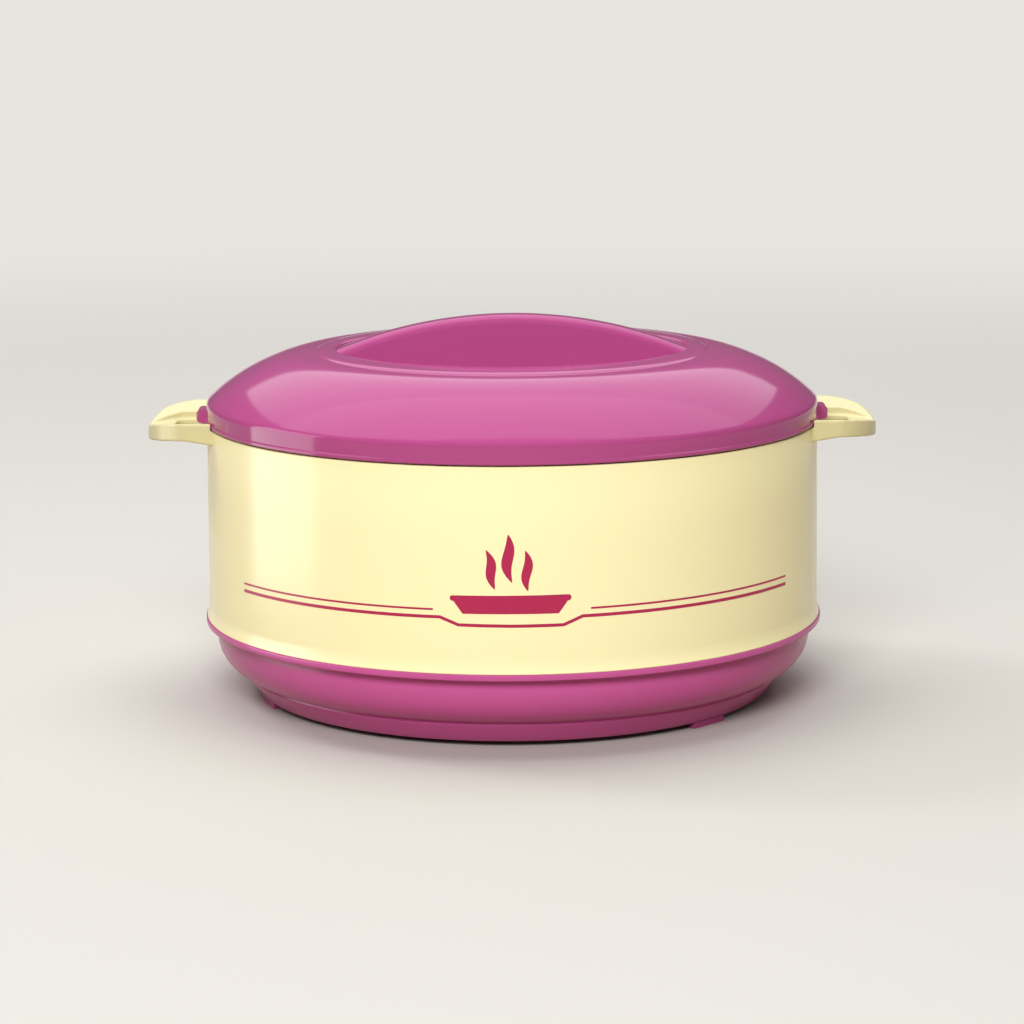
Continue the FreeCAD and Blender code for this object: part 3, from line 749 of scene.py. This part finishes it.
def makePlug(name, low, thick, body, node):
    p = plugShape
    bm = turned([(0, low - p["lip"] + 0.5), (4.0, low - p["lip"] + 0.5), (4.6, low - p["lip"]),
                 (p["head"], low - p["lip"]), (p["head"], low), (p["neck"], low),
                 (p["neck"], low + thick), (0, low + thick)], 72)
    roundEdges(bm, 0.35, 3, 35)
    return finishPiece(toObject(bm, name), plastics["roseLinerPolypropylene"], body, [node])


def makeSeal():
    low, high = sealShape["low"], sealShape["high"]
    inner, outer = sealShape["inner"], sealShape["outer"]
    ribTop = low + sealShape["ribDepth"]
    bm = turned([(inner, ribTop + 0.1), ((inner + 1, low), (inner + 2.1, ribTop)), (outer - 2.1, ribTop),
                 ((outer - 1, low), (outer, ribTop + 0.1)), (outer, high), (inner, high)])
    roundEdges(bm, 0.3, 3, 60)
    return finishPiece(toObject(bm, "lidSeal"), sealMaterial, "seal", ["lid_seal"])


makeLiner()
makePlug("lidPlug", linerShape["low"], linerShape["wall"], "lid", "lid_foam_plug")
makePlug("basePlug", baseShape["floor"], baseShape["thick"], "base", "base_foam_plug")
makeSeal()
print("inner lid, plugs and seal made")


# Nodes whose shape is right as it is get their finish here

carriedOver = {
    "body_insulation": foamMaterial, "lid_insulation": foamMaterial,
    "handle_screws_right": screwMaterial, "handle_screws_left": screwMaterial,
    "foot_front_right": footMaterial, "foot_rear": footMaterial, "foot_left": footMaterial,
}
for node, material in carriedOver.items():
    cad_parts[node].data.materials.clear()
    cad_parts[node].data.materials.append(material)


# Studio: camera, floor and lamps

view = {"distance": 1354 * mm, "height": 71.1 * mm, "side": -0.25 * mm, "elevation": 10.30, "roll": -0.37,
        "focalPixels": 3380, "pixels": 1024, "sensor": 36.0}


def placeCamera():
    camera = bpy.data.cameras.new("photoCamera")
    camera.sensor_width = view["sensor"]
    camera.lens = view["sensor"] * view["focalPixels"] / view["pixels"]
    camera.clip_end = 60
    holder = bpy.data.objects.new("photoCamera", camera)
    bpy.context.scene.collection.objects.link(holder)
    tilt = math.radians(view["elevation"])
    spot = Vector((0, -math.cos(tilt), math.sin(tilt))) * view["distance"]
    spot += Vector((view["side"], 0, view["height"]))
    turn = Matrix.Rotation(math.radians(90 - view["elevation"]), 4, "X")
    turn = turn @ Matrix.Rotation(math.radians(view["roll"]), 4, "Z")
    holder.matrix_world = Matrix.Translation(spot) @ turn
    bpy.context.scene.camera = holder


def seenRay(tree):
    # 1 for the rays that look at the scene, 0 for the rays that light it
    path = addNode(tree, "ShaderNodeLightPath")
    seen = addNode(tree, "ShaderNodeMath", {"operation": "MAXIMUM"},
                   {0: path.outputs["Is Camera Ray"], 1: path.outputs["Is Glossy Ray"]})
    return addNode(tree, "ShaderNodeMath", {"operation": "MAXIMUM"},
                   {0: seen.outputs[0], 1: path.outputs["Is Transmission Ray"]}).outputs[0]


floorLook = {"half": 25.0, "paint": "c1beb9", "paintDrift": "c4c1bc", "bounce": "b09c8a",
             "backdrop": "e6e4df", "fadeStart": 0.45, "fadeEnd": 1.8}


def makeFloor():
    # matt pale floor that runs out into an even backdrop and throws back a dimmer, warmer light
    material, tree = newMaterial("paleFloor")
    place = addNode(tree, "ShaderNodeTexCoord").outputs["Object"]
    cloud = addNode(tree, "ShaderNodeTexNoise", None, {"Vector": place, "Scale": 1.5})
    tint = addNode(tree, "ShaderNodeMix", {"data_type": "RGBA"}, {
        "Factor": cloud.outputs["Fac"], "A": hexColour(floorLook["paint"]),
        "B": hexColour(floorLook["paintDrift"])})
    seen = seenRay(tree)
    shade = addNode(tree, "ShaderNodeMix", {"data_type": "RGBA"}, {
        "Factor": seen, "A": hexColour(floorLook["bounce"]), "B": tint.outputs["Result"]})
    near = addNode(tree, "ShaderNodeBsdfPrincipled", None,
                   {"Base Color": shade.outputs["Result"], "Roughness": 0.85, "Specular IOR Level": 0.2})
    away = addNode(tree, "ShaderNodeVectorMath", {"operation": "LENGTH"}, {0: place})
    share = addNode(tree, "ShaderNodeMapRange", {"interpolation_type": "SMOOTHSTEP"}, {
        "Value": away.outputs["Value"],
        "From Min": floorLook["fadeStart"], "From Max": floorLook["fadeEnd"]})
    share = addNode(tree, "ShaderNodeMath", {"operation": "MULTIPLY"},
                    {0: share.outputs["Result"], 1: seen})
    far = addNode(tree, "ShaderNodeEmission", None,
                  {"Color": hexColour(floorLook["backdrop"]), "Strength": 1.0})
    close(tree, addNode(tree, "ShaderNodeMixShader", None,
                        {0: share.outputs[0], 1: near.outputs[0], 2: far.outputs[0]}))
    bm = bmesh.new()
    bmesh.ops.create_grid(bm, x_segments=8, y_segments=8, size=floorLook["half"])
    floor = toObject(bm, "studioFloor")
    floor.data.materials.append(material)


# area lamps in metres and watts; some light only matt surfaces, some show only as gloss
lamps = {
    "topSoftbox": {"spot": (0.0, 1.2, 1.25), "aim": (0, 1.1, 0), "size": (2.4, 2.8), "power": 24},
    "nearSoftbox": {"spot": (0.0, 0.25, 1.2), "aim": (0, 0.24, 0), "size": (2.4, 0.9), "power": 3,
                    "only": "gloss"},
    "topFill": {"spot": (0.0, 0.1, 1.3), "aim": (0, 0.09, 0), "size": (1.0, 1.0), "power": 7.2,
                "only": "matt"},
    "frontSoftbox": {"spot": (-0.18, -1.5, 0.98), "aim": (0, 0, 0.08), "size": (0.7, 0.6), "power": 25,
                     "only": "matt"},
    "shadowKey": {"spot": (-1.1, 0.55, 1.25), "aim": (0, 0, 0.05), "size": (0.35, 0.35), "power": 6,
                  "only": "matt"},
    "leftStrip": {"spot": (-0.34, -0.0625, 0.135), "aim": (0, -0.0625, 0.135), "size": (0.183, 0.26),
                  "power": 0.56, "only": "gloss"},
}


def addLamp(name, spot, aim, size, power, only=None):
    lamp = bpy.data.lights.new(name, "AREA")
    lamp.shape = "RECTANGLE"
    lamp.size, lamp.size_y = size
    lamp.energy = power
    holder = bpy.data.objects.new(name, lamp)
    bpy.context.scene.collection.objects.link(holder)
    turn = (Vector(aim) - Vector(spot)).to_track_quat("-Z", "Y").to_matrix().to_4x4()
    holder.matrix_world = Matrix.Translation(Vector(spot)) @ turn
    holder.visible_camera = False
    holder.visible_glossy = only != "matt"
    holder.visible_diffuse = only != "gloss"


skyLevel = {"lighting": 0.2, "seen": 0.14}


def makeWorld():
    world = bpy.data.worlds.new("studioWorld")
    bpy.context.scene.world = world
    world.use_nodes = True
    tree = world.node_tree
    tree.nodes.clear()
    level = addNode(tree, "ShaderNodeMapRange", None, {
        "Value": seenRay(tree), "To Min": skyLevel["lighting"], "To Max": skyLevel["seen"]})
    sky = addNode(tree, "ShaderNodeBackground", None,
                  {"Color": hexColour("f6f5f3"), "Strength": level.outputs["Result"]})
    addNode(tree, "ShaderNodeOutputWorld", None, {"Surface": sky.outputs[0]})


bpy.context.scene.view_settings.view_transform = "Standard"
placeCamera()
makeFloor()
makeWorld()
for name, lamp in lamps.items():
    addLamp(name, **lamp)
print("studio made")
